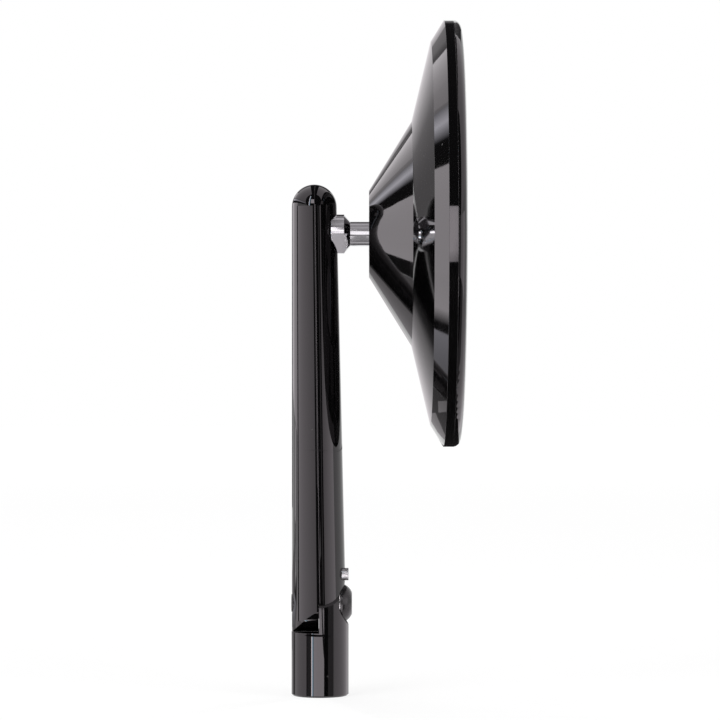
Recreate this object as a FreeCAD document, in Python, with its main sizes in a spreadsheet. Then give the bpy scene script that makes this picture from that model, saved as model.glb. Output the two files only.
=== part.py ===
import FreeCAD, Part
import os
import Sketcher

# Round motorcycle mirror on a tapered stem that folds on a half-lap foot. Sizes in millimetres.
# +Z is up, +X is the way the glass faces, and the origin is the centre of the foot's bottom face.

sizes = {
    # foot, measured up from its bottom face
    "footRadius": 7.0,
    "footEdge": 0.4,
    "threadRadius": 3.4,
    "threadDepth": 11.0,
    "drillTip": 1.9,
    "hingeHeight": 22.5,
    "shoulderGap": 0.05,
    # half-lap hinge, measured from the hinge screw's axis
    "lapOffset": 0.22,
    "lapGap": 0.1,
    "ridgeRadius": 4.45,
    "rampGap": 0.05,
    "reliefHeight": 7.1,
    "tongueEndRadius": 6.85,
    "spotfaceRadius": 5.25,
    "spotfaceFloor": 4.72,
    "headRelief": 0.2,
    "pivotRadius": 2.5,
    "runningGap": 0.05,
    "endGap": 0.02,
    "bushWall": 0.65,
    "frictionWasherRadius": 3.85,
    "frictionRecess": 0.7,
    # button-head hinge screw
    "headGap": 0.3,
    "pivotHeadRadius": 4.7,
    "pivotHeadRim": 0.5,
    "pivotHeadHeight": 2.75,
    "pivotHeadFlat": 2.62,
    "pivotHeadCrown": 3.5,
    "pivotEnd": 7.0,
    "screwChamfer": 0.4,
    "socketAcross": 3.0,
    "socketDepth": 1.5,
    "springThickness": 0.2,
    # small screw above the hinge
    "lockHeight": 7.2,
    "lockSide": 2.0,
    "lockHeadRadius": 1.5,
    "lockHeadSeat": 5.3,
    "lockHeadEnd": 6.95,
    "lockShankRadius": 0.9,
    "lockShankEnd": 2.5,
    # stem
    "stemLowRadius": 6.67,
    "stemTopRadius": 5.5,
    "stemTopOffset": 1.42,
    "domeStep": 6.6,
    # ball stud
    "mirrorHeight": 112.7,
    "studRadius": 3.0,
    "studTapEnd": 4.3,
    "studTapGap": 0.4,
    "collarFace": 2.71,
    "collarRadius": 4.8,
    "collarSpotGap": 0.15,
    "collarEnd": 5.87,
    "collarCone": 1.49,
    "flatHalfWidth": 3.67,
    "flatTurn": 40.0,
    "neckStart": 6.1,
    "neckRadius": 2.3,
    "neckCone": 0.5,
    "ballCentre": 18.4,
    "ballRadius": 5.5,
    # ball seat, ring, spring and clamp
    "splitHalf": 0.9,
    "seatWall": 2.05,
    "seatLength": 6.6,
    "seatHole": 1.5,
    "ringLength": 3.35,
    "ringWall": 0.9,
    "ballSpringHeight": 0.63,
    "ballSpringInset": 0.3,
    "ballSpringWidth": 2.3,
    "ballSpringThickness": 0.4,
    "clampBossGap": 0.1,
    "clampRadius": 14.0,
    "clampThickness": 2.5,
    "clampScrewCircle": 11.3,
    "clampScrewRadius": 1.5,
    "clampScrewGap": 0.1,
    "clampScrewHead": 2.6,
    "clampHeadHeight": 1.6,
    "clampScrewLength": 3.4,
    # head shell, turned about the mirror axis and measured from the ball's centre and the rim
    "backDepth": 6.45,
    "backRadius": 10.6,
    "backOpening": 5.4,
    "hubStep": 0.6,
    "rimStep": 13.8,
    "rimRadius": 52.0,
    "rimWidth": 2.1,
    "chamferWidth": 3.2,
    "chamferStep": 5.2,
    "dishWidth": 4.6,
    "coneRadius": 27.4,
    "shellWall": 2.1,
    "ledgeDepth": 1.3,
    "ledgeWidth": 4.5,
    "dishCorner": 1.3,
    # glass and what holds it
    "spigotInset": 1.6,
    "spigotWall": 0.8,
    "plateGap": 0.3,
    "gasketThickness": 0.5,
    "glassInset": 4.2,
    "glassGap": 0.1,
    "padMiddle": 1.04,
    "glassThickness": 2.0,
    "glassCurve": 1400.0,
    "padInset": 0.8,
    "bezelFlat": 0.1,
    "bezelRound": 1.9,
    "bezelLipDrop": 0.024,
}

doc = FreeCAD.newDocument("MotorcycleMirror")
sheet = doc.addObject("Spreadsheet::Sheet", "Sizes")


class Size:
    # a number that remembers how it was worked out from the sheet's cells
    def __init__(self, value, formula=None):
        self.value = float(value)
        self.formula = formula or repr(float(value))

    def join(self, other, sign, value):
        other = asSize(other)
        return Size(value(self.value, other.value), "(%s %s %s)" % (self.formula, sign, other.formula))

    def __add__(self, other):
        return self.join(other, "+", lambda a, b: a + b)

    def __sub__(self, other):
        return self.join(other, "-", lambda a, b: a - b)

    def __mul__(self, other):
        return self.join(other, "*", lambda a, b: a * b)

    def __truediv__(self, other):
        return self.join(other, "/", lambda a, b: a / b)

    def __neg__(self):
        return Size(-self.value, "(0 - %s)" % self.formula)


def asSize(thing):
    return thing if isinstance(thing, Size) else Size(thing)


def root(size):
    return Size(size.value ** 0.5, "sqrt(%s)" % size.formula)


def across(radius, step):
    # half width of a circle at a distance from its centre
    return root(radius * radius - asSize(step) * step)


def fillSheet():
    cells = {}
    for row, (name, value) in enumerate(sizes.items(), start=1):
        sheet.set("A%d" % row, name)
        sheet.set("B%d" % row, str(value))
        sheet.setAlias("B%d" % row, name)
        cells[name] = Size(value, "Sizes." + name)
    doc.recompute()
    return cells


cell = fillSheet()


def newBody(label, height=None):
    body = doc.addObject("PartDesign::Body", label)
    body.Label = label
    if height is not None:
        body.Placement.Base.z = height.value
        body.setExpression("Placement.Base.z", height.formula)
    return body


def originPart(body, role):
    return [part for part in body.Origin.OriginFeatures if part.Role == role][0]


def newSketch(body, name, plane, offset=None):
    sketch = body.newObject("Sketcher::SketchObject", name)
    sketch.AttachmentSupport = (originPart(body, plane), [""])
    sketch.MapMode = "FlatFace"
    if offset is not None:
        sketch.AttachmentOffset = FreeCAD.Placement(FreeCAD.Vector(0, 0, offset.value), FreeCAD.Rotation())
        sketch.setExpression("AttachmentOffset.Base.z", offset.formula)
    return sketch


def bind(sketch, constraint, size):
    index = sketch.addConstraint(constraint)
    sketch.setExpression("Constraints[%d]" % index, size.formula)


def holdPoint(sketch, edge, end, x, y):
    if x.value == 0:
        sketch.addConstraint(Sketcher.Constraint("PointOnObject", edge, end, -2))
    else:
        bind(sketch, Sketcher.Constraint("DistanceX", -1, 1, edge, end, x.value), x)
    if y.value == 0:
        sketch.addConstraint(Sketcher.Constraint("PointOnObject", edge, end, -1))
    else:
        bind(sketch, Sketcher.Constraint("DistanceY", -1, 1, edge, end, y.value), y)


def arcBetween(first, last, radius):
    # the shorter arc from first round to last, turning left
    chord = last - first
    reach = max(radius * radius - chord.Length * chord.Length / 4, 0) ** 0.5
    side = FreeCAD.Vector(-chord.y, chord.x, 0).normalize()
    centre = (first + last) * 0.5 + side * reach
    middle = centre - side * radius
    return Part.Arc(first, middle, last)


def outline(sketch, corners):
    # corners are (x, y), or (x, y, radius) where an arc runs to the next corner;
    # a negative radius turns right
    points = [(asSize(corner[0]), asSize(corner[1])) for corner in corners]
    vectors = [FreeCAD.Vector(x.value, y.value, 0) for x, y in points]
    ends = []
    for number, corner in enumerate(corners):
        first = vectors[number]
        last = vectors[(number + 1) % len(corners)]
        if len(corner) == 2:
            edge = sketch.addGeometry(Part.LineSegment(first, last), False)
            ends.append((edge, 1, 2))
        elif corner[2].value > 0:
            edge = sketch.addGeometry(arcBetween(first, last, corner[2].value), False)
            ends.append((edge, 1, 2))
        else:
            edge = sketch.addGeometry(arcBetween(last, first, -corner[2].value), False)
            ends.append((edge, 2, 1))
    for number, (edge, start, end) in enumerate(ends):
        following = ends[(number + 1) % len(ends)]
        sketch.addConstraint(Sketcher.Constraint("Coincident", edge, end, following[0], following[1]))
    for number, (edge, start, end) in enumerate(ends):
        holdPoint(sketch, edge, start, points[number][0], points[number][1])
        if len(corners[number]) == 3:
            radius = corners[number][2]
            radius = radius if radius.value > 0 else -radius
            bind(sketch, Sketcher.Constraint("Radius", edge, radius.value), radius)


def addAxis(sketch, x, y, upright):
    # a construction line to turn a profile about
    start = FreeCAD.Vector(x.value, y.value, 0)
    step = FreeCAD.Vector(0, 1, 0) if upright else FreeCAD.Vector(1, 0, 0)
    line = sketch.addGeometry(Part.LineSegment(start, start + step), True)
    holdPoint(sketch, line, 1, x, y)
    sketch.addConstraint(Sketcher.Constraint("Vertical" if upright else "Horizontal", line))
    sketch.addConstraint(Sketcher.Constraint("Distance", line, 1.0))


def turn(body, name, corners, axis="H_Axis", cut=False, offset=None, axisAt=None):
    sketch = newSketch(body, name + "Profile", "XZ_Plane", offset)
    outline(sketch, corners)
    if axisAt is not None:
        addAxis(sketch, asSize(axisAt[0]), asSize(axisAt[1]), axis == "V_Axis")
        axis = "Axis0"
    kind = "PartDesign::Groove" if cut else "PartDesign::Revolution"
    feature = body.newObject(kind, name)
    feature.Profile = sketch
    feature.ReferenceAxis = (sketch, [axis])
    feature.Angle = 360
    body.Tip = feature
    return feature


def cutAway(body, name, plane, corners, offset=None, length=None, towardsNormal=False):
    # cuts an outline away, right through both ways where no offset is given
    sketch = newSketch(body, name + "Outline", plane, offset)
    outline(sketch, corners)
    feature = body.newObject("PartDesign::Pocket", name)
    feature.Profile = sketch
    feature.Reversed = towardsNormal
    if offset is None:
        feature.SideType = "Symmetric"
    if length is None:
        feature.Type = "ThroughAll"
    else:
        feature.Length = length.value
        feature.setExpression("Length", length.formula)
    body.Tip = feature
    return feature


def drillPattern(body, name, radius, circle, face, depth, count=3):
    # blind or through holes round the X axis, drilled towards -X from a face
    sketch = newSketch(body, name + "Circle", "YZ_Plane", face)
    hole = sketch.addGeometry(Part.Circle(FreeCAD.Vector(0, circle.value, 0), FreeCAD.Vector(0, 0, 1),
                                          radius.value), False)
    holdPoint(sketch, hole, 3, Size(0), circle)
    bind(sketch, Sketcher.Constraint("Radius", hole, radius.value), radius)
    drill = body.newObject("PartDesign::Pocket", name)
    drill.Profile = sketch
    drill.Length = depth.value
    drill.setExpression("Length", depth.formula)
    patternRound(body, name + "Pattern", drill, count)


def patternRound(body, name, feature, count):
    pattern = body.newObject("PartDesign::PolarPattern", name)
    pattern.Originals = [feature]
    pattern.Axis = (originPart(body, "X_Axis"), [""])
    pattern.Angle = 360
    pattern.Occurrences = count
    body.Tip = pattern


def hexagonCorners(acrossFlats):
    # corner of a hexagon with two flats upright
    half = acrossFlats / 2
    point = half / root(Size(3))
    return [(half, -point), (half, point), (Size(0), point * 2), (-half, point), (-half, -point),
            (Size(0), -(point * 2))]


# Values that several pieces share.
half = Size(0.5)
lapFace = -cell["lapOffset"]
footLap = lapFace + cell["lapGap"] * half
stemLap = lapFace - cell["lapGap"] * half
washerFloor = footLap + cell["frictionRecess"]
bushBore = cell["pivotRadius"] + cell["runningGap"]
bushRadius = bushBore + cell["bushWall"]
pivotHeadSeat = cell["spotfaceFloor"] + cell["headGap"]
pivotHeadTop = pivotHeadSeat + cell["pivotHeadHeight"]
ballX = cell["ballCentre"]
ballBore = cell["ballRadius"] + cell["runningGap"]
seatRadius = ballBore + cell["seatWall"]
seatBore = seatRadius + cell["runningGap"]
ringRear = ballX - cell["ringLength"]
ringFront = ballX - cell["splitHalf"]
ringRadius = seatRadius + cell["ringWall"]
ringPocket = ringRadius + cell["runningGap"]
ballSpringOuter = ringRadius - cell["ballSpringInset"]
ballSpringInner = ballSpringOuter - cell["ballSpringWidth"]
springFloor = ringRear - cell["endGap"] - cell["ballSpringHeight"]
backFace = ballX - cell["backDepth"]
hubFloor = ballX + cell["hubStep"]
clampFace = hubFloor + cell["clampThickness"]
rimEnd = ballX + cell["rimStep"]
rimStart = rimEnd - cell["rimWidth"]
dishEnd = rimStart - cell["chamferWidth"]
coneEnd = dishEnd - cell["dishWidth"]
dishRadius = cell["rimRadius"] - cell["chamferStep"]
ledgeFace = rimEnd - cell["ledgeDepth"]
ledgeRadius = cell["rimRadius"] - cell["ledgeWidth"]
spigotOuter = cell["rimRadius"] - cell["spigotInset"]
spigotInner = spigotOuter - cell["spigotWall"]
plateBack = ledgeFace + cell["gasketThickness"]
plateRadius = spigotInner - cell["plateGap"]
glassRadius = cell["rimRadius"] - cell["glassInset"]
glassFront = rimEnd + cell["padMiddle"] + cell["glassThickness"]
glassBackCurve = cell["glassCurve"] - cell["glassThickness"]
glassCentre = glassFront - cell["glassCurve"]


def glassFace(curve, radius):
    return glassCentre + across(curve, radius)


def makeFoot():
    # round foot with a tapped hole below and the right half of the lap standing up as a tongue
    body = newBody("foot", cell["hingeHeight"])
    bottom = -cell["hingeHeight"]
    threadEnd = bottom + cell["threadDepth"]
    top = cell["reliefHeight"]
    side = cell["footRadius"]
    turn(body, "FootTurned", [
        (Size(0), top),
        (Size(0), threadEnd + cell["drillTip"]),
        (cell["threadRadius"], threadEnd),
        (cell["threadRadius"], bottom),
        (side - cell["footEdge"], bottom),
        (side, bottom + cell["footEdge"]),
        (side, top),
    ], axis="V_Axis")
    past = side * 2
    cutAway(body, "FootShoulder", "XZ_Plane", [
        (-past, -(cell["tongueEndRadius"] + cell["shoulderGap"])),
        (footLap, -(cell["tongueEndRadius"] + cell["shoulderGap"])),
        (footLap, past),
        (-past, past),
    ])
    # the tongue's end is a roof of two ramps with a rounded ridge about the hinge axis
    ridge = cell["ridgeRadius"]
    tangent = ridge / root(Size(2))
    peak = tangent * 2
    cutAway(body, "FootRoof", "YZ_Plane", [
        (-past, peak - past),
        (-tangent, tangent, -ridge),
        (tangent, tangent),
        (past, peak - past),
        (past, past),
        (-past, past),
    ])
    turn(body, "FootBore", [
        (-past, Size(0)),
        (past, Size(0)),
        (past, cell["spotfaceRadius"]),
        (cell["spotfaceFloor"], cell["spotfaceRadius"]),
        (cell["spotfaceFloor"], bushRadius),
        (washerFloor, bushRadius),
        (washerFloor, cell["frictionWasherRadius"] + cell["runningGap"]),
        (-past, cell["frictionWasherRadius"] + cell["runningGap"]),
    ], cut=True)


def makePivotBush():
    body = newBody("pivot_bush", cell["hingeHeight"])
    turn(body, "BushTurned", [
        (washerFloor, bushBore),
        (cell["spotfaceFloor"], bushBore),
        (cell["spotfaceFloor"], bushRadius),
        (washerFloor, bushRadius),
    ])


def makeFrictionWasher():
    body = newBody("friction_washer", cell["hingeHeight"])
    turn(body, "WasherTurned", [
        (stemLap, bushBore),
        (washerFloor - cell["endGap"], bushBore),
        (washerFloor - cell["endGap"], cell["frictionWasherRadius"]),
        (stemLap, cell["frictionWasherRadius"]),
    ])


def makePivotScrew():
    # button-head screw, threaded into the stem's tongue
    body = newBody("pivot_screw", cell["hingeHeight"])
    end = -cell["pivotEnd"]
    shank = cell["pivotRadius"]
    turn(body, "ScrewTurned", [
        (end, Size(0)),
        (end, shank - cell["screwChamfer"]),
        (end + cell["screwChamfer"], shank),
        (pivotHeadSeat, shank),
        (pivotHeadSeat, cell["pivotHeadRadius"]),
        (pivotHeadSeat + cell["pivotHeadRim"], cell["pivotHeadRadius"], -cell["pivotHeadCrown"]),
        (pivotHeadTop, cell["pivotHeadFlat"]),
        (pivotHeadTop, Size(0)),
    ])
    cutAway(body, "Socket", "YZ_Plane", hexagonCorners(cell["socketAcross"]), offset=pivotHeadTop,
            length=cell["socketDepth"])


def makePivotSpring():
    # conical spring washer under the screw's head
    body = newBody("pivot_spring", cell["hingeHeight"])
    outer = cell["pivotHeadRadius"] - cell["runningGap"]
    low = cell["spotfaceFloor"] + cell["endGap"]
    high = pivotHeadSeat - cell["endGap"]
    turn(body, "SpringTurned", [
        (low, outer),
        (high - cell["springThickness"], bushBore),
        (high, bushBore),
        (low + cell["springThickness"], outer),
    ])


def makeStem():
    # tapered bar, upright on its left side, with a domed top and the left half of the lap below
    body = newBody("stem", cell["hingeHeight"])
    low = -cell["tongueEndRadius"]
    dome = cell["mirrorHeight"] + cell["domeStep"] - cell["hingeHeight"]
    sections = []
    for name, centre, radius, height in (
            ("StemLow", lapFace, cell["stemLowRadius"], low),
            ("StemHigh", -cell["stemTopOffset"], cell["stemTopRadius"], dome)):
        sketch = newSketch(body, name, "XY_Plane", height)
        ring = sketch.addGeometry(Part.Circle(FreeCAD.Vector(centre.value, 0, 0),
                                              FreeCAD.Vector(0, 0, 1), radius.value), False)
        holdPoint(sketch, ring, 3, centre, Size(0))
        bind(sketch, Sketcher.Constraint("Radius", ring, radius.value), radius)
        sections.append(sketch)
    loft = body.newObject("PartDesign::AdditiveLoft", "StemTaper")
    loft.Profile = sections[0]
    loft.Sections = [sections[1]]
    loft.Ruled = True
    body.Tip = loft
    top = cell["stemTopRadius"]
    middle = -cell["stemTopOffset"]
    turn(body, "StemDome", [
        (middle, dome),
        (middle + top, dome, top),
        (middle, dome + top),
    ], axis="V_Axis", axisAt=(middle, dome))
    past = cell["stemLowRadius"] * 2
    # room for the foot's tongue: a ramp that rests on the tongue's front ramp, then a flat that
    # leaves the tongue free when the stem folds back
    ramp = (cell["ridgeRadius"] + cell["rampGap"]) * root(Size(2))
    cutAway(body, "StemRelief", "YZ_Plane", [
        (-past, ramp - past),
        (cell["reliefHeight"] - ramp, cell["reliefHeight"]),
        (past, cell["reliefHeight"]),
        (past, -past),
        (-past, -past),
    ], offset=stemLap, towardsNormal=True)
    # the stem's own tongue is rounded about the hinge axis
    end = cell["tongueEndRadius"]
    cutAway(body, "StemTongueEnd", "YZ_Plane", [
        (-past, Size(0)),
        (-end, Size(0), end),
        (Size(0), -end, end),
        (end, Size(0)),
        (past, Size(0)),
        (past, -past),
        (-past, -past),
    ])
    relief = cell["pivotHeadRadius"] + cell["headRelief"]
    turn(body, "HeadRoom", [
        (cell["spotfaceFloor"], Size(0)),
        (past, Size(0)),
        (past, relief),
        (cell["spotfaceFloor"], relief),
    ], cut=True)
    turn(body, "PivotTapping", [
        (-past, Size(0)),
        (Size(0), Size(0)),
        (Size(0), cell["pivotRadius"]),
        (-past, cell["pivotRadius"]),
    ], cut=True)
    studHeight = cell["mirrorHeight"] - cell["hingeHeight"]
    spot = cell["collarRadius"] + cell["collarSpotGap"]
    turn(body, "StudSeat", [
        (-cell["studTapEnd"], studHeight),
        (past, studHeight),
        (past, studHeight + spot),
        (cell["collarFace"], studHeight + spot),
        (cell["collarFace"], studHeight + cell["studRadius"]),
        (-cell["studTapEnd"], studHeight + cell["studRadius"]),
    ], cut=True, axisAt=(0, studHeight))
    lock = cell["lockHeight"]
    turn(body, "LockSeat", [
        (cell["lockShankEnd"], lock),
        (past, lock),
        (past, lock + cell["lockHeadRadius"] + cell["runningGap"]),
        (cell["lockHeadSeat"], lock + cell["lockHeadRadius"] + cell["runningGap"]),
        (cell["lockHeadSeat"], lock + cell["lockShankRadius"]),
        (cell["lockShankEnd"], lock + cell["lockShankRadius"]),
    ], cut=True, offset=cell["lockSide"], axisAt=(0, lock))


def makeLockScrew():
    body = newBody("lock_screw", cell["hingeHeight"])
    lock = cell["lockHeight"]
    turn(body, "LockTurned", [
        (cell["lockShankEnd"], lock),
        (cell["lockHeadEnd"], lock),
        (cell["lockHeadEnd"], lock + cell["lockHeadRadius"]),
        (cell["lockHeadSeat"], lock + cell["lockHeadRadius"]),
        (cell["lockHeadSeat"], lock + cell["lockShankRadius"]),
        (cell["lockShankEnd"], lock + cell["lockShankRadius"]),
    ], offset=cell["lockSide"], axisAt=(0, lock))


def makeBallStud():
    # collar seated on the stem's spotface, shaft, neck and ball, with two wrench flats on the collar
    body = newBody("ball_stud", cell["mirrorHeight"])
    turned = FreeCAD.Rotation(FreeCAD.Vector(1, 0, 0), cell["flatTurn"].value)
    body.Placement = FreeCAD.Placement(FreeCAD.Vector(0, 0, cell["mirrorHeight"].value), turned)
    tapEnd = cell["studTapGap"] - cell["studTapEnd"]
    neckStart = ballX - cell["neckStart"] + cell["neckCone"]
    shaft = cell["studRadius"]
    collarTip = cell["collarEnd"] + cell["collarCone"]
    ball = cell["ballRadius"]
    turn(body, "StudTurned", [
        (tapEnd, Size(0)),
        (tapEnd, shaft - cell["screwChamfer"]),
        (tapEnd + cell["screwChamfer"], shaft),
        (cell["collarFace"], shaft),
        (cell["collarFace"], cell["collarRadius"]),
        (cell["collarEnd"], cell["collarRadius"]),
        (collarTip, shaft),
        (ballX - cell["neckStart"], shaft),
        (neckStart, cell["neckRadius"]),
        (ballX - across(ball, cell["neckRadius"]), cell["neckRadius"], -ball),
        (ballX, ball, -ball),
        (ballX + ball, Size(0)),
    ])
    flat = cell["flatHalfWidth"]
    past = cell["collarRadius"] * 2
    for name, near, far in (("FrontFlat", -flat, -past), ("RearFlat", flat, past)):
        cutAway(body, name, "YZ_Plane", [(near, -past), (far, -past), (far, past), (near, past)],
                offset=cell["collarFace"], length=collarTip - cell["collarFace"], towardsNormal=True)


def makeBallSeat():
    # cup in front of the ball, round inside and out about the ball's centre
    body = newBody("ball_seat", cell["mirrorHeight"])
    rear = cell["splitHalf"]
    front = cell["seatLength"]
    turn(body, "SeatTurned", [
        (ballX + rear, across(ballBore, rear), -ballBore),
        (ballX + across(ballBore, cell["seatHole"]), cell["seatHole"]),
        (ballX + front, cell["seatHole"]),
        (ballX + front, across(seatRadius, front), seatRadius),
        (ballX + rear, across(seatRadius, rear)),
    ])


def makeBallRing():
    # ring behind the ball that keeps it in the head
    body = newBody("ball_ring", cell["mirrorHeight"])
    turn(body, "RingTurned", [
        (ringRear, across(ballBore, cell["ringLength"]), -ballBore),
        (ringFront, across(ballBore, cell["splitHalf"])),
        (ringFront, ringRadius),
        (ringRear, ringRadius),
    ])


def makeBallSpring():
    # disc spring that presses the ring onto the ball
    body = newBody("ball_spring", cell["mirrorHeight"])
    high = ringRear - cell["endGap"]
    turn(body, "DiscTurned", [
        (springFloor, ballSpringOuter),
        (high - cell["ballSpringThickness"], ballSpringInner),
        (high, ballSpringInner),
        (springFloor + cell["ballSpringThickness"], ballSpringOuter),
    ])


def makeClampPlate():
    # plate with a round seat that pulls the cup onto the ball
    body = newBody("clamp_plate", cell["mirrorHeight"])
    rear = cell["splitHalf"] - cell["clampBossGap"]
    turn(body, "PlateTurned", [
        (ballX - rear, across(seatBore, rear), -seatBore),
        (clampFace, across(seatBore, clampFace - ballX)),
        (clampFace, cell["clampRadius"]),
        (hubFloor, cell["clampRadius"]),
        (hubFloor, ringRadius),
        (ballX - rear, ringRadius),
    ])
    drillPattern(body, "PlateHoles", cell["clampScrewRadius"] + cell["clampScrewGap"],
                 cell["clampScrewCircle"], clampFace, cell["clampThickness"])


def makeClampScrews():
    # three screws, one group
    body = newBody("clamp_screws", cell["mirrorHeight"])
    body.AllowCompound = True
    circle = cell["clampScrewCircle"]
    tip = hubFloor - cell["clampScrewLength"]
    head = clampFace + cell["clampHeadHeight"]
    screw = turn(body, "ClampScrew", [
        (tip, circle),
        (head, circle),
        (head, circle + cell["clampScrewHead"]),
        (clampFace, circle + cell["clampScrewHead"]),
        (clampFace, circle + cell["clampScrewRadius"]),
        (tip, circle + cell["clampScrewRadius"]),
    ], axisAt=(0, circle))
    patternRound(body, "ClampScrewPattern", screw, 3)


def makeHeadShell():
    # turned shell: flat back, cone, steep dish, chamfer and rim, hollow behind the glass
    body = newBody("head_shell", cell["mirrorHeight"])
    wall = cell["shellWall"]
    slope = (cell["coneRadius"] - cell["backRadius"]) / (coneEnd - backFace)
    hubRadius = cell["backRadius"] + slope * (hubFloor - backFace - wall)
    turn(body, "ShellTurned", [
        (backFace, cell["backOpening"]),
        (backFace, cell["backRadius"]),
        (coneEnd, cell["coneRadius"]),
        (dishEnd, dishRadius),
        (rimStart, cell["rimRadius"]),
        (rimEnd, cell["rimRadius"]),
        (rimEnd, spigotOuter + cell["runningGap"]),
        (ledgeFace, spigotOuter + cell["runningGap"]),
        (ledgeFace, ledgeRadius),
        (dishEnd + wall, dishRadius - cell["dishCorner"]),
        (coneEnd + wall, cell["coneRadius"]),
        (hubFloor, hubRadius),
        (hubFloor, ringPocket),
        (springFloor, ringPocket),
        (springFloor, cell["backOpening"]),
    ])
    drillPattern(body, "ShellTappings", cell["clampScrewRadius"], cell["clampScrewCircle"],
                 hubFloor, cell["clampScrewLength"])


def makeRimGasket():
    body = newBody("rim_gasket", cell["mirrorHeight"])
    turn(body, "GasketTurned", [
        (ledgeFace, ledgeRadius),
        (plateBack, ledgeRadius),
        (plateBack, plateRadius),
        (ledgeFace, plateRadius),
    ])


def makeBackingPlate():
    body = newBody("backing_plate", cell["mirrorHeight"])
    turn(body, "PlateDisc", [
        (plateBack, Size(0)),
        (rimEnd, Size(0)),
        (rimEnd, plateRadius),
        (plateBack, plateRadius),
    ])


def makeAdhesivePad():
    # fills the space between the flat plate and the domed back of the glass
    body = newBody("adhesive_pad", cell["mirrorHeight"])
    edge = glassRadius - cell["padInset"]
    turn(body, "PadTurned", [
        (rimEnd, Size(0)),
        (rimEnd, edge),
        (glassFace(glassBackCurve, edge), edge, -glassBackCurve),
        (glassFront - cell["glassThickness"], Size(0)),
    ])


def makeMirrorGlass():
    # convex glass
    body = newBody("mirror_glass", cell["mirrorHeight"])
    edge = glassRadius
    turn(body, "GlassTurned", [
        (glassFront - cell["glassThickness"], Size(0), glassBackCurve),
        (glassFace(glassBackCurve, edge), edge),
        (glassFace(cell["glassCurve"], edge), edge, -cell["glassCurve"]),
        (glassFront, Size(0)),
    ])


def makeBezelRing():
    # ring that closes the rim, flush with the glass and rounded outside
    body = newBody("bezel_ring", cell["mirrorHeight"])
    inner = glassRadius + cell["glassGap"]
    flatEnd = rimEnd + cell["bezelFlat"]
    lip = glassFace(cell["glassCurve"], glassRadius) - cell["bezelLipDrop"]
    turn(body, "BezelTurned", [
        (ledgeFace + cell["runningGap"], spigotInner),
        (ledgeFace + cell["runningGap"], spigotOuter),
        (rimEnd, spigotOuter),
        (rimEnd, cell["rimRadius"]),
        (flatEnd, cell["rimRadius"], -cell["bezelRound"]),
        (flatEnd + cell["bezelRound"], cell["rimRadius"] - cell["bezelRound"]),
        (lip, inner),
        (rimEnd, inner),
        (rimEnd, spigotInner),
    ])


def checkDocument():
    for thing in doc.Objects:
        bad = [word for word in thing.State if word in ("Invalid", "Error")]
        if bad:
            raise RuntimeError("%s is %s" % (thing.Name, ", ".join(bad)))
    for body in doc.findObjects("PartDesign::Body"):
        if body.Shape.isNull() or not body.Shape.isValid():
            raise RuntimeError("%s has no valid shape" % body.Label)


def exportPieces():
    os.makedirs("parts", exist_ok=True)
    for body in doc.findObjects("PartDesign::Body"):
        body.Shape.exportStep("parts/%s.step" % body.Label)
        box = body.Shape.optimalBoundingBox()
        print("%-16s %d solid(s) %9.2f mm3  X %.2f..%.2f  Y %.2f..%.2f  Z %.2f..%.2f" % (
            body.Label, len(body.Shape.Solids), body.Shape.Volume, box.XMin, box.XMax,
            box.YMin, box.YMax, box.ZMin, box.ZMax))


makeFoot()
makePivotBush()
makeFrictionWasher()
makePivotScrew()
makePivotSpring()
makeStem()
makeLockScrew()
makeBallStud()
makeBallSeat()
makeBallRing()
makeBallSpring()
makeClampPlate()
makeClampScrews()
makeHeadShell()
makeRimGasket()
makeBackingPlate()
makeAdhesivePad()
makeMirrorGlass()
makeBezelRing()
doc.recompute()
checkDocument()
exportPieces()
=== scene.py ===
import math

import bpy
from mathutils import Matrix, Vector

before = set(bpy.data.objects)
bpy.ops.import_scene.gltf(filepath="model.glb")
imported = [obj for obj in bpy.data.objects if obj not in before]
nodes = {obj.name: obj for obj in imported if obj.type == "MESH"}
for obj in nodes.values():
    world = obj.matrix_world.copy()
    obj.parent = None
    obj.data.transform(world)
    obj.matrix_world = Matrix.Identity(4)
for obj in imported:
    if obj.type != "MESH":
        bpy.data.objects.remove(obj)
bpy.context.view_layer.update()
mm = 0.001
hinge = (0, 0, 22.5 * mm)
mirrorAxis = (0, 0, 112.7 * mm)


# Shader building blocks. A source is an output socket, a number or a colour.

def startMaterial(name, constants):
    material = bpy.data.materials.new(name)
    material.use_nodes = True
    tree = material.node_tree
    shader = tree.nodes["Principled BSDF"]
    for socket, value in constants.items():
        shader.inputs[socket].default_value = value
    return material, tree, shader


def plug(tree, source, target):
    if hasattr(source, "is_output"):
        tree.links.new(source, target)
    else:
        target.default_value = source


def addNode(tree, kind, inputs=None, **properties):
    node = tree.nodes.new(kind)
    for name, value in properties.items():
        setattr(node, name, value)
    for name, source in (inputs or {}).items():
        plug(tree, source, node.inputs[name])
    return node


def calculate(tree, operation, first, second=0.0, third=0.0, clamp=False):
    node = addNode(tree, "ShaderNodeMath", {0: first, 1: second, 2: third}, operation=operation)
    node.use_clamp = clamp
    return node.outputs[0]


def onVector(tree, operation, first, second=(0, 0, 0), output=0):
    return addNode(tree, "ShaderNodeVectorMath", {0: first, 1: second}, operation=operation).outputs[output]


def longSide(tree, first, second):
    # the long side of a right-angled triangle
    return calculate(tree, "SQRT", calculate(tree, "ADD", calculate(tree, "MULTIPLY", first, first),
                                             calculate(tree, "MULTIPLY", second, second)))


def mixGrain(tree, main, other):
    # six parts of one grain to four of another
    return calculate(tree, "MULTIPLY_ADD", main, 0.6, calculate(tree, "MULTIPLY", other, 0.4))


def spread(tree, source, low, high, start, end):
    # the source between low and high becomes start to end
    return addNode(tree, "ShaderNodeMapRange", {
        "Value": source, "From Min": low, "From Max": high, "To Min": start, "To Max": end}).outputs["Result"]


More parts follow.
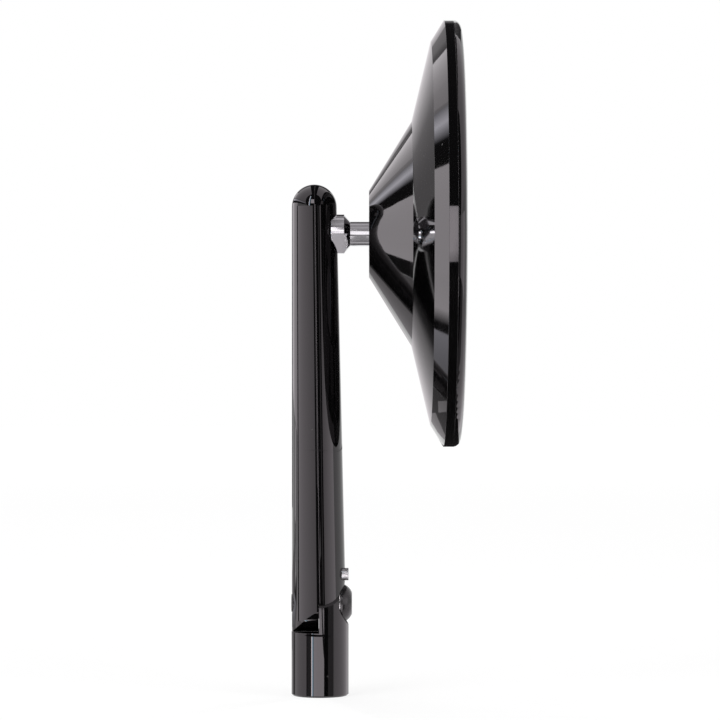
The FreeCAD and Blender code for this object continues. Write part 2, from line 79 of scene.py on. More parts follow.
def blendColours(tree, factor, first, second):
    mix = addNode(tree, "ShaderNodeMix", {"Factor": factor, 6: first, 7: second}, data_type="RGBA")
    return mix.outputs[2]


def place(tree, centre=(0, 0, 0)):
    # where a point is on its own piece, from a chosen centre
    here = addNode(tree, "ShaderNodeTexCoord").outputs["Object"]
    return onVector(tree, "SUBTRACT", here, centre)


def splitUp(tree, vector):
    return addNode(tree, "ShaderNodeSeparateXYZ", {0: vector}).outputs


def grain(tree, vector, size, detail=3.0, roughness=0.5, stretch=None):
    # noise whose lumps are about size across
    if stretch:
        vector = addNode(tree, "ShaderNodeMapping", {"Vector": vector, "Scale": stretch}).outputs[0]
    return addNode(tree, "ShaderNodeTexNoise", {
        "Vector": vector, "Scale": 1 / size, "Detail": detail, "Roughness": roughness}).outputs[0]


def specks(tree, vector, size, share):
    # small round spots, 1 in the middle of each, on a share of the cells
    cells = addNode(tree, "ShaderNodeTexVoronoi", {"Vector": vector, "Scale": 1 / size})
    near = spread(tree, cells.outputs["Distance"], 0.08, 0.16, 1, 0)
    chosen = calculate(tree, "LESS_THAN", splitUp(tree, cells.outputs["Color"])[0], share)
    return calculate(tree, "MULTIPLY", near, chosen)


def roundedEdges(tree, radius):
    return addNode(tree, "ShaderNodeBevel", {"Radius": radius}, samples=6).outputs[0]


# Where wear starts and where it is full: how far a corner turns away, and how strong its spots are.
wearLook = {"corner": (0.985, 0.9), "spots": (0.45, 0.62)}


def edgeWear(tree, rounded, spots):
    # 1 on the corners and 0 on open faces, broken up by the spots
    flat = addNode(tree, "ShaderNodeNewGeometry").outputs["Normal"]
    corner = spread(tree, onVector(tree, "DOT_PRODUCT", rounded, flat, "Value"), *wearLook["corner"], 0, 1)
    return calculate(tree, "MULTIPLY", corner, spread(tree, spots, *wearLook["spots"], 0, 1))


def bump(tree, height, depth, normal=None, strength=1.0):
    inputs = {"Height": height, "Distance": depth, "Strength": strength}
    if normal is not None:
        inputs["Normal"] = normal
    return addNode(tree, "ShaderNodeBump", inputs).outputs[0]


def aroundX(tree, vector):
    # distance from the X axis, and the place along it
    parts = splitUp(tree, vector)
    return longSide(tree, parts[1], parts[2]), parts[0]


def ripple(tree, source, pitch):
    # 0 to 1 and back over each pitch
    return calculate(tree, "PINGPONG", calculate(tree, "DIVIDE", source, pitch), 0.5)


# How well the surface and the exact bar agree where the bar's normal starts to count, and where it is all.
barMatch = (0.990, 0.996)


def trueRound(tree, here, rounded, bar):
    # the exact normal of a round bar where the surface lies near it, so that reflections run straight
    low, high = bar["low"], bar["high"]
    length = high["height"] - low["height"]
    shift = (low["centre"] - high["centre"]) / length
    taper = (low["radius"] - high["radius"]) / length
    parts = splitUp(tree, here)
    share = spread(tree, parts[2], low["height"], high["height"], 0, 1)
    centre = calculate(tree, "MULTIPLY_ADD", share, high["centre"] - low["centre"], low["centre"])
    side = calculate(tree, "SUBTRACT", parts[0], centre)
    radius = longSide(tree, side, parts[1])
    lean = calculate(tree, "MULTIPLY_ADD", side, shift, calculate(tree, "MULTIPLY", radius, taper))
    lean = calculate(tree, "MULTIPLY", lean, calculate(tree, "LESS_THAN", parts[2], high["height"]))
    dome = calculate(tree, "MAXIMUM", calculate(tree, "SUBTRACT", parts[2], high["height"]), 0.0)
    upward = calculate(tree, "ADD", lean, dome)
    outward = addNode(tree, "ShaderNodeCombineXYZ", {0: side, 1: parts[1], 2: upward}).outputs[0]
    outward = addNode(tree, "ShaderNodeVectorTransform", {0: onVector(tree, "NORMALIZE", outward)},
                      vector_type="NORMAL", convert_from="OBJECT", convert_to="WORLD").outputs[0]
    near = spread(tree, onVector(tree, "DOT_PRODUCT", outward, rounded, "Value"), *barMatch, 0, 1)
    mixed = addNode(tree, "ShaderNodeMix", {0: near, 4: rounded, 5: outward}, data_type="VECTOR").outputs[1]
    return onVector(tree, "NORMALIZE", mixed)


# Black lacquer over turned aluminium, on the foot, the stem and the head.

lacquer = {
    "deepColour": (0.0020, 0.0019, 0.0021, 1),
    "thinColour": (0.0034, 0.0032, 0.0034, 1),
    "wornColour": (0.045, 0.043, 0.042, 1),
    "dustColour": (0.10, 0.098, 0.094, 1),
    "roughness": (0.018, 0.06),
    "headRoughness": (0.035, 0.07),           # the head mirrors more softly than the bars
    "wearShow": 0.55, "wearRoughness": 0.12,  # worn corners: how much they show, and how much duller they are
    "wearGrain": 0.35 * mm,
    "dustShow": 0.3, "dustRoughness": 0.2,
    "dustShare": 0.035, "dustSpacing": 1.9 * mm,
    "cloudSize": 14 * mm,                     # slow changes of depth in the black
    "smearSize": 5 * mm,                      # where it is wiped shiny or dull
    "edgeRadius": 0.07 * mm,
    "peelSize": 0.9 * mm, "peelDepth": 0.00012 * mm,    # orange peel
    "toolPitch": 0.16 * mm, "toolDepth": 0.00004 * mm,  # turning marks under the lacquer
}

# The round bars: height, side place and radius at each end; the stem ends in a dome over its high end.
stemBar = {"low": {"height": 15.65 * mm, "centre": -0.22 * mm, "radius": 6.67 * mm},
           "high": {"height": 119.3 * mm, "centre": -1.42 * mm, "radius": 5.5 * mm}}
footBar = {"low": {"height": 0.0, "centre": 0.0, "radius": 7.0 * mm},
           "high": {"height": 60 * mm, "centre": 0.0, "radius": 7.0 * mm}}


def makeLacquer(name, centre, turnedRound, bar=None):
    material, tree, shader = startMaterial(name, {
        "IOR": 1.54, "Coat Weight": 0.0, "Specular Tint": (1.0, 0.955, 0.985, 1)})
    here = place(tree, centre)
    clouds = grain(tree, here, lacquer["cloudSize"], 4)
    smears = grain(tree, here, lacquer["smearSize"], 6, 0.62, (1.0, 1.0, 0.35))
    fine = grain(tree, here, lacquer["wearGrain"], 2)
    dust = specks(tree, here, lacquer["dustSpacing"], lacquer["dustShare"])
    rounded = roundedEdges(tree, lacquer["edgeRadius"])
    wear = edgeWear(tree, rounded, fine)
    if bar:
        rounded = trueRound(tree, here, rounded, bar)
    colour = blendColours(tree, clouds, lacquer["deepColour"], lacquer["thinColour"])
    worn = calculate(tree, "MULTIPLY", wear, lacquer["wearShow"])
    colour = blendColours(tree, worn, colour, lacquer["wornColour"])
    dusty = calculate(tree, "MULTIPLY", dust, lacquer["dustShow"])
    colour = blendColours(tree, dusty, colour, lacquer["dustColour"])
    low, high = lacquer["headRoughness" if turnedRound == "face" else "roughness"]
    gloss = spread(tree, smears, 0.42, 0.72, low, high)
    gloss = calculate(tree, "MULTIPLY_ADD", wear, lacquer["wearRoughness"], gloss)
    gloss = calculate(tree, "MULTIPLY_ADD", dust, lacquer["dustRoughness"], gloss, clamp=True)
    if turnedRound == "face":  # rings on the head
        rings = ripple(tree, aroundX(tree, here)[0], lacquer["toolPitch"])
    else:                      # rings round the upright pieces
        rings = ripple(tree, splitUp(tree, here)[2], lacquer["toolPitch"])
    normal = bump(tree, rings, lacquer["toolDepth"], rounded)
    normal = bump(tree, grain(tree, here, lacquer["peelSize"], 1), lacquer["peelDepth"], normal)
    plug(tree, colour, shader.inputs["Base Color"])
    plug(tree, gloss, shader.inputs["Roughness"])
    plug(tree, normal, shader.inputs["Normal"])
    return material, tree, shader, here, normal


def makeStemLacquer():
    return makeLacquer("black lacquer on the stem", (0, 0, 0), "upright", stemBar)[0]


def makeHeadLacquer():
    return makeLacquer("black lacquer on the head", mirrorAxis, "face")[0]


footThread = {"radius": 3.5 * mm, "depth": 11.0 * mm, "pitch": 1.25 * mm, "groove": 0.42 * mm,
              "mouth": 0.02 * mm, "scratchSize": 0.4 * mm, "colour": (0.30, 0.30, 0.31, 1),
              "darkColour": (0.12, 0.12, 0.125, 1), "roughness": 0.25, "metallic": 0.95}


def makeFootFinish():
    # the same lacquer, with a bare cut thread inside the tapped hole
    material, tree, shader, here, normal = makeLacquer(
        "black lacquer on the foot", (0, 0, 0), "upright", footBar)
    parts = splitUp(tree, here)
    radius = longSide(tree, parts[0], parts[1])
    angle = calculate(tree, "DIVIDE", calculate(tree, "ARCTAN2", parts[1], parts[0]), math.tau)
    turns = calculate(tree, "ADD", calculate(tree, "DIVIDE", parts[2], footThread["pitch"]), angle)
    inside = calculate(tree, "MULTIPLY", calculate(tree, "LESS_THAN", radius, footThread["radius"]),
                       calculate(tree, "LESS_THAN", parts[2], footThread["depth"]))
    past = calculate(tree, "GREATER_THAN", parts[2], footThread["mouth"])
    inside = calculate(tree, "MULTIPLY", inside, past)
    groove = calculate(tree, "MULTIPLY", calculate(tree, "PINGPONG", turns, 0.5), inside)
    cutNormal = bump(tree, groove, footThread["groove"] * 2, normal)
    plug(tree, cutNormal, shader.inputs["Normal"])
    lacquered = shader.inputs["Base Color"].links[0].from_socket
    scratched = spread(tree, grain(tree, here, footThread["scratchSize"], 5), 0.3, 0.7, 0.75, 1.0)
    bare = blendColours(tree, scratched, footThread["darkColour"], footThread["colour"])
    plug(tree, blendColours(tree, inside, lacquered, bare), shader.inputs["Base Color"])
    glossy = shader.inputs["Roughness"].links[0].from_socket
    rougher = calculate(tree, "MULTIPLY_ADD", inside, footThread["roughness"], glossy)
    plug(tree, rougher, shader.inputs["Roughness"])
    plug(tree, calculate(tree, "MULTIPLY", inside, footThread["metallic"]), shader.inputs["Metallic"])
    return material


# Metals. Each has its colours, roughness range, turning marks (round its side or on its face) and wear.

metalLook = {"scratchSize": 0.5 * mm, "satinReach": (0.985, 0.995)}


def makeMetal(name, settings, centre=mirrorAxis):
    material, tree, shader = startMaterial(name, {"Metallic": 1.0})
    here = place(tree, centre)
    radius, along = aroundX(tree, here)
    clouds = grain(tree, here, settings["cloudSize"], 5, 0.6)
    scratches = grain(tree, here, metalLook["scratchSize"], 4, 0.7, (0.15, 1.0, 1.0))
    rounded = roundedEdges(tree, settings["edgeRadius"])
    worn = calculate(tree, "MULTIPLY", edgeWear(tree, rounded, clouds), settings["wear"])
    colour = blendColours(tree, clouds, settings["darkColour"], settings["lightColour"])
    colour = blendColours(tree, worn, colour, settings["wornColour"])
    gloss = spread(tree, mixGrain(tree, scratches, clouds), 0.35, 0.65, *settings["roughness"])
    if "satinFacing" in settings:  # flats that face this way, or the other way, are duller
        normal = addNode(tree, "ShaderNodeTexCoord").outputs["Normal"]
        facing = onVector(tree, "DOT_PRODUCT", normal, settings["satinFacing"], "Value")
        facing = calculate(tree, "ABSOLUTE", facing)
        flat = spread(tree, facing, *metalLook["satinReach"], 0, settings["satinRoughness"])
        gloss = calculate(tree, "ADD", gloss, flat)
    marks = ripple(tree, along if settings["turned"] == "side" else radius, settings["markPitch"])
    normal = bump(tree, marks, settings["markDepth"], rounded)
    normal = bump(tree, scratches, settings["scratchDepth"], normal)
    plug(tree, colour, shader.inputs["Base Color"])
    plug(tree, gloss, shader.inputs["Roughness"])
    plug(tree, normal, shader.inputs["Normal"])
    return material


chromePlate = {
    "darkColour": (0.60, 0.60, 0.62, 1), "lightColour": (0.72, 0.72, 0.74, 1),
    "wornColour": (0.80, 0.80, 0.81, 1),
    "wear": 0.3, "cloudSize": 6 * mm, "roughness": (0.03, 0.09), "edgeRadius": 0.08 * mm,
    "turned": "side", "markPitch": 0.11 * mm, "markDepth": 0.00012 * mm, "scratchDepth": 0.0001 * mm,
    "satinFacing": (0, 0.766, 0.643), "satinRoughness": 0.03,
}
satinChrome = {
    "darkColour": (0.38, 0.375, 0.38, 1), "lightColour": (0.48, 0.475, 0.48, 1),
    "wornColour": (0.60, 0.60, 0.60, 1),
    "wear": 0.3, "cloudSize": 1.2 * mm, "roughness": (0.36, 0.48), "edgeRadius": 0.08 * mm,
    "turned": "side", "markPitch": 0.12 * mm, "markDepth": 0.0006 * mm, "scratchDepth": 0.001 * mm,
}
blackScrew = {
    "darkColour": (0.030, 0.030, 0.031, 1), "lightColour": (0.060, 0.058, 0.059, 1),
    "wornColour": (0.20, 0.20, 0.20, 1),
    "wear": 0.5, "cloudSize": 1.5 * mm, "roughness": (0.20, 0.34), "edgeRadius": 0.12 * mm,
    "turned": "face", "markPitch": 0.13 * mm, "markDepth": 0.0010 * mm, "scratchDepth": 0.001 * mm,
}
sinteredBronze = {
    "darkColour": (0.36, 0.23, 0.10, 1), "lightColour": (0.62, 0.43, 0.21, 1),
    "wornColour": (0.80, 0.60, 0.33, 1),
    "wear": 0.6, "cloudSize": 0.25 * mm, "roughness": (0.28, 0.5), "edgeRadius": 0.08 * mm,
    "turned": "side", "markPitch": 0.2 * mm, "markDepth": 0.001 * mm, "scratchDepth": 0.003 * mm,
}
springSteel = {
    "darkColour": (0.32, 0.31, 0.30, 1), "lightColour": (0.52, 0.52, 0.53, 1),
    "wornColour": (0.66, 0.66, 0.66, 1),
    "wear": 0.6, "cloudSize": 2 * mm, "roughness": (0.18, 0.32), "edgeRadius": 0.05 * mm,
    "turned": "face", "markPitch": 0.09 * mm, "markDepth": 0.0006 * mm, "scratchDepth": 0.001 * mm,
}
innerMetal = {
    "darkColour": (0.50, 0.50, 0.52, 1), "lightColour": (0.66, 0.66, 0.68, 1),
    "wornColour": (0.78, 0.78, 0.80, 1),
    "wear": 0.5, "cloudSize": 9 * mm, "roughness": (0.24, 0.4), "edgeRadius": 0.12 * mm,
    "turned": "face", "markPitch": 0.22 * mm, "markDepth": 0.002 * mm, "scratchDepth": 0.001 * mm,
}


# Plastics, rubber and foam.

mouldedLook = {"edgeRadius": 0.1 * mm, "rubShow": 0.4}


def makeMoulded(name, settings, centre=mirrorAxis):
    material, tree, shader = startMaterial(name, {"IOR": settings["ior"]})
    here = place(tree, centre)
    clouds = grain(tree, here, settings["cloudSize"], 4, 0.6)
    fibres = grain(tree, here, settings["grainSize"], 3, 0.6, settings["stretch"])
    rounded = roundedEdges(tree, mouldedLook["edgeRadius"])
    rubbed = calculate(tree, "MULTIPLY", edgeWear(tree, rounded, clouds), mouldedLook["rubShow"])
    mixed = mixGrain(tree, fibres, clouds)
    paler = spread(tree, mixed, 0.35, 0.65, 0, 1)
    colour = blendColours(tree, paler, settings["darkColour"], settings["lightColour"])
    colour = blendColours(tree, rubbed, colour, settings["rubbedColour"])
    plug(tree, colour, shader.inputs["Base Color"])
    plug(tree, spread(tree, mixed, 0.35, 0.65, *settings["roughness"]), shader.inputs["Roughness"])
    plug(tree, bump(tree, fibres, settings["grainDepth"], rounded), shader.inputs["Normal"])
    return material


washerPlastic = {
    "darkColour": (0.62, 0.61, 0.57, 1), "lightColour": (0.80, 0.79, 0.75, 1),
    "rubbedColour": (0.86, 0.86, 0.83, 1),
    "ior": 1.48, "roughness": (0.34, 0.5), "cloudSize": 3 * mm, "grainSize": 0.3 * mm,
    "stretch": (1, 1, 1), "grainDepth": 0.004 * mm,
}
seatPlastic = {
    "darkColour": (0.035, 0.035, 0.036, 1), "lightColour": (0.075, 0.074, 0.072, 1),
    "rubbedColour": (0.16, 0.16, 0.155, 1),
    "ior": 1.5, "roughness": (0.35, 0.55), "cloudSize": 2.5 * mm, "grainSize": 0.22 * mm,
    "stretch": (0.25, 1, 1), "grainDepth": 0.004 * mm,
}
gasketRubber = {
    "darkColour": (0.014, 0.014, 0.014, 1), "lightColour": (0.030, 0.030, 0.029, 1),
    "rubbedColour": (0.08, 0.08, 0.078, 1),
    "ior": 1.5, "roughness": (0.55, 0.8), "cloudSize": 4 * mm, "grainSize": 0.12 * mm,
    "stretch": (1, 1, 1), "grainDepth": 0.006 * mm,
}
padFoam = {
    "darkColour": (0.05, 0.05, 0.052, 1), "lightColour": (0.12, 0.12, 0.12, 1),
    "rubbedColour": (0.2, 0.2, 0.2, 1),
    "ior": 1.45, "roughness": (0.8, 0.95), "cloudSize": 3 * mm, "grainSize": 0.18 * mm,
    "stretch": (1, 1, 1), "grainDepth": 0.02 * mm,
}


# Mirror glass: silvered on its face, ground on its edge, painted behind.

mirrorFinish = {
    "silver": (0.80, 0.82, 0.83, 1), "hazySilver": (0.74, 0.765, 0.775, 1),
    "groundEdge": (0.055, 0.075, 0.070, 1), "paleEdge": (0.11, 0.13, 0.125, 1),
    "edgeRoughness": 0.32, "edgeGrain": 0.25 * mm, "edgeRadius": 0.2 * mm,
    "backPaint": (0.06, 0.055, 0.05, 1),
    "hazeSize": 12 * mm, "faceRoughness": 0.006, "hazeRoughness": 0.02,
    "dustColour": (0.45, 0.45, 0.44, 1), "dustSpacing": 2.4 * mm, "dustShare": 0.06,
    "dustShow": 0.4, "dustRoughness": 0.25,
    "waveSize": 6 * mm, "waveDepth": 0.0006 * mm,
}


def makeMirrorFinish():
    material, tree, shader = startMaterial("mirror glass", {"IOR": 1.52})
    here = place(tree, mirrorAxis)
    facing = splitUp(tree, addNode(tree, "ShaderNodeTexCoord").outputs["Normal"])[0]
    front = spread(tree, facing, 0.55, 0.75, 0, 1)
    back = spread(tree, facing, -0.75, -0.55, 1, 0)
    haze = spread(tree, grain(tree, here, mirrorFinish["hazeSize"], 6, 0.65), 0.5, 0.75, 0, 1)
    dust = specks(tree, here, mirrorFinish["dustSpacing"], mirrorFinish["dustShare"])
    fine = grain(tree, here, mirrorFinish["edgeGrain"], 3)
    silver = blendColours(tree, haze, mirrorFinish["silver"], mirrorFinish["hazySilver"])
    dusty = calculate(tree, "MULTIPLY", dust, mirrorFinish["dustShow"])
    silver = blendColours(tree, dusty, silver, mirrorFinish["dustColour"])
    paler = spread(tree, fine, 0.35, 0.65, 0, 0.5)
    edge = blendColours(tree, paler, mirrorFinish["groundEdge"], mirrorFinish["paleEdge"])
    colour = blendColours(tree, front, edge, silver)
    colour = blendColours(tree, back, colour, mirrorFinish["backPaint"])
    faceRoughness, edgeRoughness = mirrorFinish["faceRoughness"], mirrorFinish["edgeRoughness"]
    gloss = calculate(tree, "MULTIPLY_ADD", haze, mirrorFinish["hazeRoughness"], faceRoughness)
    gloss = calculate(tree, "MULTIPLY_ADD", dust, mirrorFinish["dustRoughness"], gloss)
    gloss = addNode(tree, "ShaderNodeMix", {"Factor": front, 2: edgeRoughness, 3: gloss}).outputs[0]
    plug(tree, colour, shader.inputs["Base Color"])
    plug(tree, gloss, shader.inputs["Roughness"])
    plug(tree, front, shader.inputs["Metallic"])
    waves = grain(tree, here, mirrorFinish["waveSize"], 1)
    normal = bump(tree, waves, mirrorFinish["waveDepth"], roundedEdges(tree, mirrorFinish["edgeRadius"]))
    plug(tree, normal, shader.inputs["Normal"])
    return material


def dress(material, *names):
    for name in names:
        slots = nodes[name].data.materials
        slots.clear()
        slots.append(material)


dress(makeFootFinish(), "foot")
dress(makeStemLacquer(), "stem")
dress(makeHeadLacquer(), "head_shell", "bezel_ring")
dress(makeMetal("chrome plate", chromePlate), "ball_stud")
dress(makeMetal("satin chrome", satinChrome), "lock_screw")
dress(makeMetal("black hinge screws", blackScrew, hinge), "pivot_screw")
dress(makeMetal("black clamp screws", blackScrew), "clamp_screws")
dress(makeMetal("sintered bronze", sinteredBronze, hinge), "pivot_bush")
dress(makeMetal("spring steel at the hinge", springSteel, hinge), "pivot_spring")
dress(makeMetal("spring steel in the head", springSteel), "ball_spring")
dress(makeMetal("machined aluminium", innerMetal), "clamp_plate", "backing_plate")
dress(makeMoulded("white washer plastic", washerPlastic, hinge), "friction_washer")
dress(makeMoulded("fibre-filled seat plastic", seatPlastic), "ball_seat", "ball_ring")
dress(makeMoulded("gasket rubber", gasketRubber), "rim_gasket")
dress(makeMoulded("adhesive foam", padFoam), "adhesive_pad")
dress(makeMirrorFinish(), "mirror_glass")
print("finishes done")


# Studio: a pale floor, a white room, soft lamps, and the cards that gloss paint mirrors.

studio = {
    "floorRadius": 3.0,
    "floorColour": (0.80, 0.80, 0.80, 1),
    "floorShare": 0.75,           # share of the floor that only glows, for camera and mirror rays
    "floorGlow": (1.09, 1.22),    # near and far, so that with the lit share it comes to plain white
    "floorReach": (0.1, 1.6),     # how far out near and far are
    "roomLight": 0.42,            # world strength for soft light
    "plainTint": (1.0, 0.955, 0.985, 1),
    "blueTint": (0.42, 0.78, 1.0, 1),
    "violetTint": (0.93, 0.92, 1.0, 1),
    "cardCentre": (0.005, 0.0, 0.112),
    "domeHeight": 0.115,          # height of the stem's dome, which its cards are laid out from
    "lampAim": (0, 0, 0.06),
}

# Cards of a round tent, seen from the camera: distance, angle away from the camera, turn round it
# (0 right, 90 up, 180 left), brightness at the four corners (near and far at the first turn, far and near
# at the second), and the tint where it isn't plain. All angles are in degrees.
tentCards = {
    "top_seam": (0.70, (30, 150), (79, 101), (0.02, 0.02, 0.02, 0.02)),
    "top_left_panel": (0.72, (30, 132), (101, 151), (1.2, 1.5, 1.15, 1.2)),
    "top_left_behind": (0.74, (130, 150), (130, 151), (1.15, 1.9, 1.9, 1.15)),
    "top_right_panel": (0.72, (30, 132), (12, 79), (1.3, 1.2, 1.2, 1.3)),
    "left_seam": (2.5, (45, 150), (160.6, 165.6), (0.02, 0.02, 0.02, 0.02)),
    "left_fade": (2.5, (45, 150), (157.2, 160.6), (2.8, 2.8, 0.02, 0.02), "violetTint"),
    "left_strip": (2.5, (45, 150), (154.2, 157.2), (0.85, 0.85, 2.8, 2.8), "violetTint"),
    "left_slope": (2.5, (45, 150), (150.5, 154.2), (1.05, 1.05, 0.85, 0.85)),
    "left_middle_panel": (2.6, (97, 146), (165.6, 182.3), (2.4, 2.2, 2.2, 2.4)),
    "behind_top": (0.72, (134, 158), (48, 132), (0.03, 0.03, 0.40, 0.40)),
    "behind_top_end": (0.72, (134, 158), (132, 136.5), (0.40, 0.40, 0.18, 0.18)),
}

# Upright cards: distance, height, then brightness at each turn from the camera (plus is right).
uprightCards = {
    "left_low_panel": (0.23, (0.0005, 0.1375), ((-92, 2.3), (-8, 1.2))),
    "left_gap": (0.225, (0.0005, 0.1375), ((-99, 0.02), (-93, 0.02))),
    "left_line": (0.225, (0.0005, 0.1375), ((-104, 2.6), (-101, 2.6))),
    "thin_line": (0.265, (0.009, 0.1415), ((18, 0.5), (21, 0.5))),
    "right_low_panel": (0.27, (0.009, 0.1415), ((27, 1.15), (78, 2.3))),
    "seam_backing": (0.68, (0.0005, 0.20), ((12, 0.02), (32, 0.02))),
    "behind_upper": (1.2, (0.14, 0.75), ((-149, 0.22), (-154, 0.20), (-160, 0.30), (-163, 0.50),
                                         (-168, 0.74), (-180, 0.95))),
    "behind_lower": (0.95, (0.0005, 0.14), ((-149, 0.0), (-156, 0.0), (-158, 0.05), (-160, 0.27),
                                           (-165, 0.52), (-170, 0.74), (-180, 0.95))),
    "behind_shoulder": (0.1, (0.018, 0.032), ((175, 0.02), (185, 0.02))),
}

# A fan of cards on the floor that the foot mirrors: brightness at each turn from the camera.
fanReach = (0.0004, 0.285)
fanCards = {
    "fan_left_end": ((-150, 0.5), (-130, 0.5)),
    "fan_left_gap": ((-130, 0.2), (-120, 0.2)),
    "fan_left": ((-120, 1.35), (-56, 1.35)),
    "fan_left_dark": ((-56, 0.02), (-52, 0.25), (-36, 0.25)),
    "fan_white_line": ((-34.5, 11.0), (-31, 11.0)),
    "fan_blue_line": ((-30.5, 6.0), (-27, 6.0)),
    "fan_middle": ((-25, 3.5), (-12, 3.2), (16.5, 3.2)),
    "fan_right_black": ((16.5, 0.0), (33, 0.0)),
    "fan_right_dark": ((33, 0.28), (56, 0.28)),
    "fan_right": ((60, 1.25), (145, 1.6)),
}

# Level sheets on or over the floor: four corners (x, y), brightness (one for all or one each), height,
# and the tint where it isn't plain.
levelSheets = {
    "stem_seam_sheet": (((-0.040, -0.283), (0.128, -0.255), (0.400, -0.800), (-0.125, -0.890)), 0.02, 0.0004),
    "rim_far_sheet": (((0.027, -0.09), (0.042, -0.09), (0.050, -0.39), (0.033, -0.39)), 0.02, 0.0005),
    "rim_near_sheet": (((0.0285, 0.09), (0.0365, 0.09), (0.0365, -0.09), (0.0285, -0.09)), 0.02, 0.0595),
    "left_sheet": (((-0.40, 0.10), (-0.05, 0.10), (-0.05, 0.42), (-0.40, 0.45)), 0.5, 0.0004),
    "left_far_sheet": (((-1.70, 0.70), (-0.385, 0.165), (-0.385, 0.221), (-1.70, 0.767)), 2.2, 0.0005),
    "left_farther_sheet": (((-2.95, 1.15), (-0.72, 0.36), (-0.72, 0.45), (-2.95, 1.75)), 2.3, 0.0006),
    "chamfer_fade_sheet": (((-0.385, 0.165), (-0.300, 0.147), (-0.300, 0.207), (-0.385, 0.225)),
                           (2.2, 0.02, 0.02, 2.2), 0.0007),
    "chamfer_seam_sheet": (((-0.300, 0.147), (-0.262, 0.1386), (-0.262, 0.1986), (-0.300, 0.207)),
                           0.02, 0.0007),
    "chamfer_bright_sheet": (((-0.262, 0.12), (-0.13, 0.12), (-0.13, 0.21), (-0.262, 0.21)),
                             (1.3, 0.5, 0.5, 1.3), 0.0006, "violetTint"),
    "cone_seam_sheet": (((-0.72, 0.36), (-0.40, 0.228), (-0.43, 0.33), (-0.72, 0.45)), 0.02, 0.0008),
    "chamfer_end_sheet": (((-0.115, 0.15), (-0.055, 0.18), (-0.055, 0.26), (-0.115, 0.19)), 0.15, 0.0007),
    "stud_flat_sheet": (((-0.004, -0.025), (0.0064, -0.025), (0.0064, -0.002), (-0.004, -0.002)),
                        0.53, 0.060),
    "skirt_sheet": (((-0.007, -0.013), (0.004, -0.013), (0.004, -0.0073), (-0.007, -0.0073)), 0.02, 0.0148),
}

# Bands over and under the stud, as far as it mirrors: height angles from one to the next and brightness.
# Those over it are at one reach, and those under it lie level at their height.
streaks = {
    "over": {"sides": (-0.004, 0.022), "reach": 0.6, "height": 0, "bands": (
        (130, 105, 0.30), (105, 90, 0.62), (90, 78, 0.33), (78, 66, 0.38), (66, 55, 0.50), (55, 40, 0.40),
        (40, 29, 0.30), (29, 22, 0.45), (22, -7, 1.5))},
    "under": {"sides": (0.0065, 0.013), "reach": 0, "height": 0.060, "bands": (
        (-7, -14, 0.6), (-14, -62, 0.28), (-62, -84, 0.24), (-84, -99, 0.55), (-99, -130, 0.15))},
}

# Small bright cards high in front of the stem's dome: distance, turns, heights, brightness and tint.
domeCards = {
    "dome_window": (0.62, (-19, -0.5), (17, 37), 4.4, "plainTint"),
    "dome_white_tube": (0.62, (-28, -25.6), (4, 54), 12.0, "plainTint"),
    "dome_blue_tube": (0.62, (-25.4, -22.5), (4, 54), 6.0, "blueTint"),
}
# The dark round that the dome's cards stand out from, and the window that the rim mirrors, down to the floor.
darkDisc = {"distance": 0.66, "turn": -4, "height": 28, "radius": 39, "glow": 0.02}
rimWindow = {"x": (0.0405, 0.0515), "y": -0.60, "height": 0.236, "foot": 0.0018, "floorStart": -0.39,
             "floorShift": -0.008, "glow": (4.6, 3.0)}


def direction(turn, height):
    turn, height = math.radians(turn), math.radians(height)
    return Vector((math.cos(height) * math.sin(turn), -math.cos(height) * math.cos(turn), math.sin(height)))


def cardMesh(name, corners, glows, across, tint="plainTint"):
    # corners run in rows of across points
    faces = []
    for start in range(0, len(corners) - across, across):
        for step in range(start, start + across - 1):
            faces.append((step, step + 1, step + 1 + across, step + across))
    mesh = bpy.data.meshes.new(name)
    mesh.from_pydata(corners, [], faces)
    layer = mesh.attributes.new("glow", "FLOAT", "POINT")
    for index, glow in enumerate(glows):
        layer.data[index].value = glow
    card = bpy.data.objects.new(name, mesh)
    bpy.context.scene.collection.objects.link(card)
    card.visible_camera = False
    card.visible_diffuse = False
    card.visible_shadow = False
    card.data.materials.append(cardMaterials[tint])


def makeTentCard(name, distance, away, turn, glows, tint="plainTint"):
    centre = studio["cardCentre"]
    rows, across = 12, 25
    corners, levels = [], []
    for row in range(rows + 1):
        part = row / rows
        angle = math.radians(away[0] + (away[1] - away[0]) * part)
        for step in range(across):
            share = step / (across - 1)
            spin = math.radians(turn[0] + (turn[1] - turn[0]) * share)
            corners.append((centre[0] + distance * math.sin(angle) * math.cos(spin),
                            centre[1] - distance * math.cos(angle),
                            centre[2] + distance * math.sin(angle) * math.sin(spin)))
            near = glows[0] + (glows[3] - glows[0]) * share
            far = glows[1] + (glows[2] - glows[1]) * share
            levels.append(near + (far - near) * part)
    cardMesh(name, corners, levels, across, tint)


def stationsBetween(stations, largest=4.0):
    # turn and brightness at small steps along the stations
    points = [stations[0]]
    for (turn, glow), (nextTurn, nextGlow) in zip(stations, stations[1:]):
        steps = max(1, math.ceil(abs(nextTurn - turn) / largest))
        points += [(turn + (nextTurn - turn) * step / steps, glow + (nextGlow - glow) * step / steps)
                   for step in range(1, steps + 1)]
    return points


def makeUprightCard(name, distance, height, stations):
    points = stationsBetween(stations)
    corners = [(distance * direction(turn, 0).x, distance * direction(turn, 0).y, level)
               for level in height for turn, glow in points]
    cardMesh(name, corners, [glow for turn, glow in points] * 2, len(points))


def makeFanCard(name, stations):
    # each edge follows what the round foot mirrors in one direction
    points = stationsBetween(stations)
    corners = []
    for reach in fanReach:
        for turn, glow in points:
            at = direction(turn / 2, 0) * footBar["low"]["radius"] + direction(turn, 0) * reach
            corners.append((at.x, at.y, 0.0002))
    cardMesh(name, corners, [glow for turn, glow in points] * 2, len(points),
             "blueTint" if "blue" in name else "plainTint")


